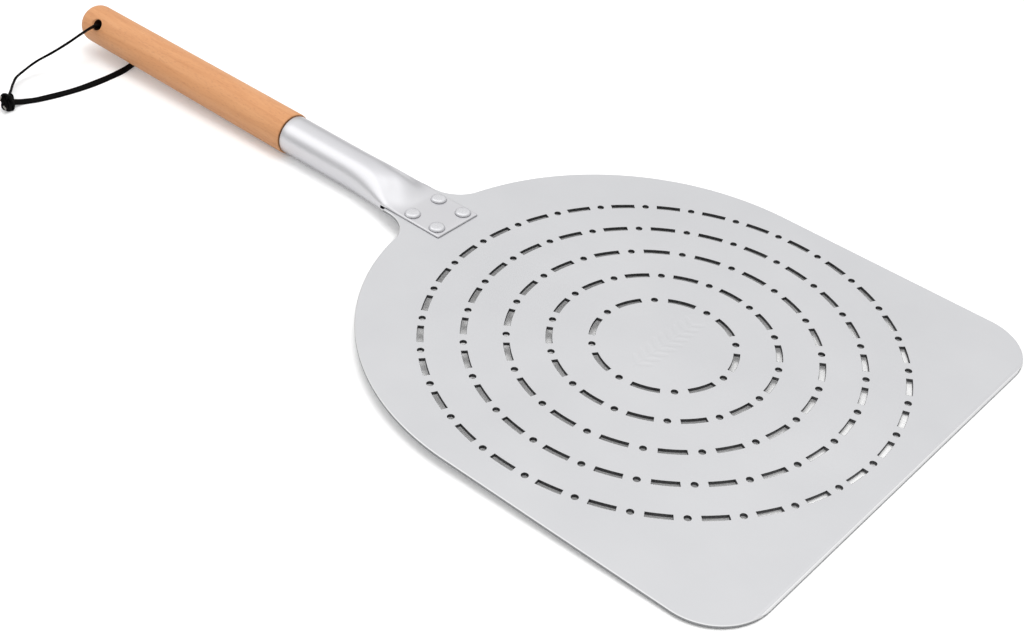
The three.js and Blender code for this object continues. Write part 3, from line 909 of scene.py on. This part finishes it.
def painted_crevice_shade(n, tone, dark, reach=0.0012, power=1.0):
    """Painted shade: darkens a colour in narrow gaps and along concave joints, where ambient occlusion finds
    little open sky.
    """
    open_sky = n.add("ShaderNodeAmbientOcclusion", {"Distance": reach}, samples=6).outputs["AO"]
    open_sky = n.math("POWER", n.range(open_sky, 0.25, 0.92, 0.0, 1.0), power)
    return n.mix(open_sky, dark, tone)


def satin(n, tone, cloud, sheen, speckle, lines, relief):
    """Finishes a rolled or drawn metal: cloudy sheen, a fine speckle, and lines in relief."""
    rough = n.math("ADD", n.range(cloud, 0.3, 0.7, *sheen), n.math("MULTIPLY", speckle, 0.05))
    normal = n.bump(lines, relief, 0.0002, n.bump(speckle, 0.05, 0.0002))
    surface(n, Base_Color=tone, Metallic=1.0, Roughness=rough, Normal=normal)


def aluminium_sheet(name, light, shade):
    """Fine matt rolled sheet: faint roll lines, small cloudy changes in sheen, a few hair scratches."""
    made, n = material(name)
    grain = n.noise((60, 2600, 2600), 3.0, 0.6)
    speckle = n.noise((3200, 3200, 3200), 2.0, 0.6)
    cloud = n.noise((14, 14, 14), 3.0, 0.55)
    scratch = n.noise(n.stretched((9, 900, 900), (0, 0, 0.5)), 2.0, 0.4)
    scratch_mask = n.ramp(scratch, [(0.0, 0.0), (0.73, 0.0), (0.78, 1.0), (1.0, 1.0)])
    tone = n.ramp(cloud, [(0.3, (shade, shade * 1.005, shade * 1.03)),
                          (0.7, (light, light * 1.004, light * 1.025))])
    tone = n.mix(n.math("MULTIPLY", grain, 0.10), tone, (0.60, 0.605, 0.62))
    tone = n.mix(n.math("MULTIPLY", scratch_mask, 0.12), tone, (0.90, 0.90, 0.91))
    # painted shade in the gaps and along the joints
    tone = painted_crevice_shade(n, tone, (0.10, 0.10, 0.105))
    satin(n, tone, cloud, (0.35, 0.40), speckle, grain, 0.05)
    return made


def plain_metal(name, stretch, detail, dark, light, rough, relief, cavity_shade=None):
    """A metal whose colour, sheen and relief all follow one fine noise."""
    made, n = material(name)
    marks = n.noise(stretch, detail, 0.6)
    tone = n.ramp(marks, [(0.3, dark), (0.7, light)])
    # an optional cavity colour is painted shade in gaps and along joints
    if cavity_shade is not None:
        tone = painted_crevice_shade(n, tone, cavity_shade)
    surface(n, Base_Color=tone, Metallic=1.0, Roughness=n.range(marks, 0.3, 0.7, *rough),
            Normal=n.bump(marks, *relief))
    return made


def highlight_metal(name, low, high):
    """The planed front bevel and the rim: metal brighter than the sheet as a painted highlight, with fine
    cutter lines.
    """
    return plain_metal(name, (4200, 40, 4200), 3.0, (low, low * 1.004, low * 1.012),
                       (high, high * 1.003, high * 1.01), (0.28, 0.38), (0.08, 0.0001))


def blade_metals():
    """One metal for each of the sheet's slots, in their order: the sheet; its outer edge, darker as painted
    shade; the planed bevel, brighter as a painted highlight; the punched walls, near black as painted shade;
    the underside, darker as painted shade; the rim, brighter as a painted highlight.
    """
    return [
        aluminium_sheet("aluminium_sheet", 0.755, 0.715),
        # outer edge: darker than the sheet as painted shade; its last colour is painted shade in joints
        plain_metal("aluminium_edge_painted_shade", (2400, 2400, 160), 2.0, (0.25, 0.253, 0.26), (0.36, 0.364, 0.374),
                    (0.34, 0.5), (0.15, 0.0001), (0.08, 0.08, 0.085)),
        # planed bevel: fine cutter lines, and metal near white as a painted highlight
        highlight_metal("planed_bevel_painted_highlight", 0.95, 0.99),
        # walls of the holes: near black as painted shade
        plain_metal("punched_wall_painted_shade", (1800, 1800, 260), 3.0, (0.085, 0.085, 0.088), (0.19, 0.19, 0.195),
                    (0.5, 0.7), (0.25, 0.0001)),
        # underside: the sheet's metal made darker as painted shade
        aluminium_sheet("aluminium_underside_painted_shade", 0.56, 0.50),
        # rim: brighter than the sheet as a painted highlight along the edge's upper round
        highlight_metal("aluminium_rim_painted_highlight", 0.75, 0.81),
    ]


def aluminium_tube():
    """Drawn tube: satin, with fine lines along its length."""
    made, n = material("aluminium_tube")
    lines = n.noise((35, 1500, 1500), 3.0, 0.6)
    speckle = n.noise((2600, 2600, 2600), 2.0, 0.6)
    cloud = n.noise((20, 40, 40), 2.0, 0.5)
    tone = n.ramp(cloud, [(0.3, (0.715, 0.710, 0.735)), (0.7, (0.75, 0.748, 0.765))])
    tone = n.mix(n.math("MULTIPLY", lines, 0.10), tone, (0.62, 0.62, 0.64))
    # painted shade in the narrow gaps and along the joints
    tone = painted_crevice_shade(n, tone, (0.06, 0.06, 0.065), reach=0.0005, power=1.3)
    satin(n, tone, cloud, (0.27, 0.33), speckle, lines, 0.06)
    return made


def aluminium_rivet():
    """Pressed head: smooth, with faint marks of the setting tool."""
    # the last colour is painted shade where the head meets the tongue
    return plain_metal("aluminium_rivet", (900, 900, 900), 3.0, (0.72, 0.72, 0.745), (0.80, 0.80, 0.82),
                       (0.24, 0.34), (0.10, 0.0002), (0.08, 0.08, 0.085))


def zinc_screw():
    return plain_metal("zinc_screw", (1200, 1200, 1200), 2.0, (0.62, 0.63, 0.64), (0.74, 0.745, 0.75),
                       (0.28, 0.4), (0.1, 0.0001))


def beech_wood():
    """Beech: warm orange-beige, soft long grain, short dark ray flecks and a sanded surface."""
    made, n = material("beech_wood")
    wander = n.noise((9, 40, 40), 2.0, 0.5)
    along = n.stretched((16, 300, 300))
    drift = n.math("MULTIPLY", wander, 2.5)
    shifted = n.add("ShaderNodeVectorMath", {0: along, 1: drift}, operation="ADD").outputs[0]
    grain = n.noise(shifted, 4.0, 0.6, 0.3)
    broad = n.noise((5, 55, 55), 2.0, 0.5)
    fleck = n.noise((330, 1500, 1500), 1.0, 0.4)
    fleck_mask = n.ramp(fleck, [(0.0, 0.0), (0.60, 0.0), (0.68, 1.0), (1.0, 1.0)])
    pore = n.noise((150, 2600, 2600), 2.0, 0.5)
    tone = n.ramp(grain, [(0.28, (0.54, 0.240, 0.098)), (0.50, (0.625, 0.298, 0.128)),
                          (0.75, (0.69, 0.350, 0.160))])
    tone = n.mix(n.range(broad, 0.35, 0.65, 0.0, 0.35), tone, (0.63, 0.275, 0.108))
    tone = n.mix(n.math("MULTIPLY", fleck_mask, 0.34), tone, (0.42, 0.17, 0.07))
    tone = n.mix(n.math("MULTIPLY", pore, 0.12), tone, (0.50, 0.24, 0.11))
    # painted shade in the gaps and along the joints
    tone = painted_crevice_shade(n, tone, (0.06, 0.025, 0.012), reach=0.0018)
    rough = n.range(grain, 0.3, 0.7, 0.62, 0.50)
    normal = n.bump(pore, 0.18, 0.0002)
    normal = n.bump(fleck_mask, 0.10, 0.0001, normal)
    surface(n, Base_Color=tone, Roughness=rough, Normal=normal, Coat_Weight=0.06, Coat_Roughness=0.4)
    return made


def shaded_bore_wood():
    """The drilled bore: end grain, painted nearly black as the shade inside the bore."""
    made, n = material("shaded_bore_wood")
    rings = n.noise((700, 700, 2200), 3.0, 0.6)
    tone = n.ramp(rings, [(0.3, (0.020, 0.008, 0.005)), (0.7, (0.055, 0.021, 0.012))])
    surface(n, Base_Color=tone, Roughness=n.range(rings, 0.3, 0.7, 0.7, 0.85), Specular_IOR_Level=0.2,
            Normal=n.bump(rings, 0.3, 0.0002))
    return made


def black_leather():
    made, n = material("black_leather")
    cells = {"Vector": n.stretched((1700, 1700, 1700)), "Scale": 1.0}
    pebble = n.add("ShaderNodeTexVoronoi", cells).outputs[0]
    wax = n.noise((180, 180, 180), 3.0, 0.6)
    tone = n.ramp(wax, [(0.3, (0.0012, 0.0011, 0.0011)), (0.75, (0.0035, 0.0031, 0.003))])
    rough = n.range(wax, 0.3, 0.7, 0.42, 0.58)
    surface(n, Base_Color=tone, Roughness=rough, Specular_IOR_Level=0.06, Normal=n.bump(pebble, 0.5, 0.0002))
    return made


def cut_leather():
    """The paler raw core at the lace's cut ends."""
    made, n = material("cut_leather")
    fibre = n.noise((1500, 1500, 1500), 3.0, 0.7)
    tone = n.ramp(fibre, [(0.3, (0.16, 0.15, 0.135)), (0.7, (0.38, 0.36, 0.33))])
    surface(n, Base_Color=tone, Roughness=0.85, Normal=n.bump(fibre, 0.4, 0.0002))
    return made


def studio_floor():
    """White paper; the camera sees it a little brighter than it lights the object, as a retouched ground."""
    made, n = material("studio_floor")
    paper = n.noise((60, 60, 60), 2.0, 0.5)
    seen = n.add("ShaderNodeLightPath").outputs["Is Camera Ray"]
    tone = n.mix(seen, (0.72, 0.72, 0.72), (0.845, 0.845, 0.845))
    tone = n.mix(n.math("MULTIPLY", paper, 0.02), tone, (0.70, 0.70, 0.70))
    surface(n, Base_Color=tone, Roughness=0.9, Emission_Color=(1, 1, 1, 1),
            Emission_Strength=n.math("MULTIPLY_ADD", seen, 0.14, 0.03))
    return made


# ---- assembly

def dress(obj, materials, body, node):
    indices = [face.material_index for face in obj.data.polygons]
    obj.data.materials.clear()
    for made in materials:
        obj.data.materials.append(made)
    obj.data.polygons.foreach_set("material_index", indices)
    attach(obj, body)
    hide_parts(node)


blade = make_blade()
dress(blade, blade_metals(), "peel", "blade")

tube = make_tube()
dress(tube, [aluminium_tube()], "peel", "handle_tube")

rivet_finish = aluminium_rivet()
for rivet_node in RIVET_NODES:
    dress(make_rivet(rivet_node), [rivet_finish], "peel", rivet_node)

grip = make_grip()
dress(grip, [beech_wood(), shaded_bore_wood()], "peel", "wood_grip")

screw = make_screw()
dress(screw, [zinc_screw()], "peel", "grip_screw")

lace = make_lace()
dress(lace, [black_leather(), cut_leather()], "cord", "hang_cord")


# ---- stage, light and camera

FLOOR_HALF_SIZE = 9000.0
FLOOR_GAP = 0.05

# brightness of the studio against height, from straight down (0) over level (0.5) to straight up (1)
STUDIO_HEIGHTS = [(0.0, 0.50), (0.5, 0.56), (0.612, 0.64), (0.687, 0.80), (0.75, 0.92), (0.854, 0.97),
                  (0.91, 1.06), (0.937, 1.09), (0.96, 1.17), (0.98, 1.27), (1.0, 1.32)]
SOFT_BOX_AZIMUTH = math.radians(-56)
SOFT_BOX_ELEVATION = math.radians(43)
SOFT_BOX_RADIUS = math.radians(20)
SOFT_BOX_STRENGTH = 0.52

OVERHEAD_AIM = (-150.0, 0.0, 0.0)
OVERHEAD_HEIGHT = 1500.0
OVERHEAD_SIZE = 800.0
OVERHEAD_WATTS = 7.5

# the camera's distance and shifts are in radii of the outermost ring of holes
OUTER_RING_RADIUS = FIRST_RING_RADIUS + (len(HOLES_PER_RING) - 1) * RING_PITCH
CAMERA_AZIMUTH = math.radians(38.38)
CAMERA_ELEVATION = math.radians(37.8956)
CAMERA_ROLL = math.radians(4.7397)
CAMERA_DISTANCE = 6.729078 * OUTER_RING_RADIUS
CAMERA_SHIFT_RIGHT = -0.621689 * OUTER_RING_RADIUS
CAMERA_SHIFT_UP = 0.111889 * OUTER_RING_RADIUS
CAMERA_SENSOR = 36.0
CAMERA_LENS = 57.7190
HALF_PIXEL = 0.5 / 1024


def toward(azimuth, elevation):
    """The direction of a place round the object, azimuth 0 being its right-hand side, -Y."""
    return (math.sin(azimuth) * math.cos(elevation), -math.cos(azimuth) * math.cos(elevation),
            math.sin(elevation))


def make_floor():
    """A pale floor under the blade's front edge and the grip's front shoulder."""
    fall = -GRIP_LOW[2] / (BLADE_FRONT - GRIP_FRONT)
    verts = []
    for x, y in ((-1, -1), (1, -1), (1, 1), (-1, 1)):
        x, y = x * FLOOR_HALF_SIZE, y * FLOOR_HALF_SIZE
        verts.append((x, y, -(BLADE_FRONT - x) * fall - FLOOR_GAP))
    floor = make_object("floor", verts, [(0, 1, 2, 3)])
    floor.data.materials.append(studio_floor())


def make_world():
    """A white studio: bright ceiling, a soft box to the left of the camera, darker walls."""
    world = bpy.data.worlds.new("studio")
    world.use_nodes = True
    bpy.context.scene.world = world
    n = Nodes(world.node_tree)
    direction = n.add("ShaderNodeTexCoord").outputs["Generated"]
    up = n.add("ShaderNodeSeparateXYZ", {0: direction}).outputs[2]
    base = n.ramp(n.math("MULTIPLY_ADD", up, 0.5, 0.5), STUDIO_HEIGHTS)
    aim = {0: direction, 1: toward(SOFT_BOX_AZIMUTH, SOFT_BOX_ELEVATION)}
    facing = n.add("ShaderNodeVectorMath", aim, operation="DOT_PRODUCT").outputs["Value"]
    inner = math.cos(SOFT_BOX_RADIUS * 0.6)
    outer = math.cos(SOFT_BOX_RADIUS * 1.3)
    glow = n.add("ShaderNodeMapRange", {0: facing, 1: outer, 2: inner, 3: 0.0, 4: SOFT_BOX_STRENGTH},
                 interpolation_type="SMOOTHSTEP").outputs[0]
    light = n.add("ShaderNodeBackground", {"Color": n.math("ADD", base, glow), "Strength": 1.0})
    white = n.add("ShaderNodeBackground", {"Color": (1, 1, 1, 1), "Strength": 1.0})
    camera_ray = n.add("ShaderNodeLightPath").outputs["Is Camera Ray"]
    both = n.add("ShaderNodeMixShader", {0: camera_ray, 1: light.outputs[0], 2: white.outputs[0]})
    n.add("ShaderNodeOutputWorld", {"Surface": both.outputs[0]})


def make_overhead_light():
    """A round soft light above the peel. The metals mirror only the studio, so they don't see it."""
    light = bpy.data.lights.new("overhead", "AREA")
    light.shape = "DISK"
    light.size = OVERHEAD_SIZE * MM
    light.energy = OVERHEAD_WATTS
    obj = bpy.data.objects.new("overhead", light)
    bpy.context.scene.collection.objects.link(obj)
    # an unturned area light faces straight down
    obj.location = (Vector(OVERHEAD_AIM) + Vector((0, 0, OVERHEAD_HEIGHT))) * MM
    obj.visible_glossy = False


def make_camera():
    """The photograph's view: azimuth, height and roll about a point on the blade."""
    back = Vector(toward(CAMERA_AZIMUTH, CAMERA_ELEVATION))
    right = (-back).cross(Vector((0, 0, 1))).normalized()
    up = right.cross(-back)
    c, s = math.cos(CAMERA_ROLL), math.sin(CAMERA_ROLL)
    r = c * right + s * up
    u = -s * right + c * up
    place = (back * CAMERA_DISTANCE + r * CAMERA_SHIFT_RIGHT + u * CAMERA_SHIFT_UP
             + Vector((0, 0, THICKNESS)))
    data = bpy.data.cameras.new("camera")
    data.sensor_width = CAMERA_SENSOR
    data.lens = CAMERA_LENS
    data.shift_x = -HALF_PIXEL
    data.shift_y = HALF_PIXEL
    data.clip_start, data.clip_end = 0.01, 50
    camera = bpy.data.objects.new("camera", data)
    bpy.context.scene.collection.objects.link(camera)
    camera.matrix_world = Matrix.Translation(place * MM) @ Matrix((r, u, back)).transposed().to_4x4()
    bpy.context.scene.camera = camera


make_floor()
make_world()
make_overhead_light()
make_camera()
bpy.context.scene.view_settings.view_transform = "Standard"
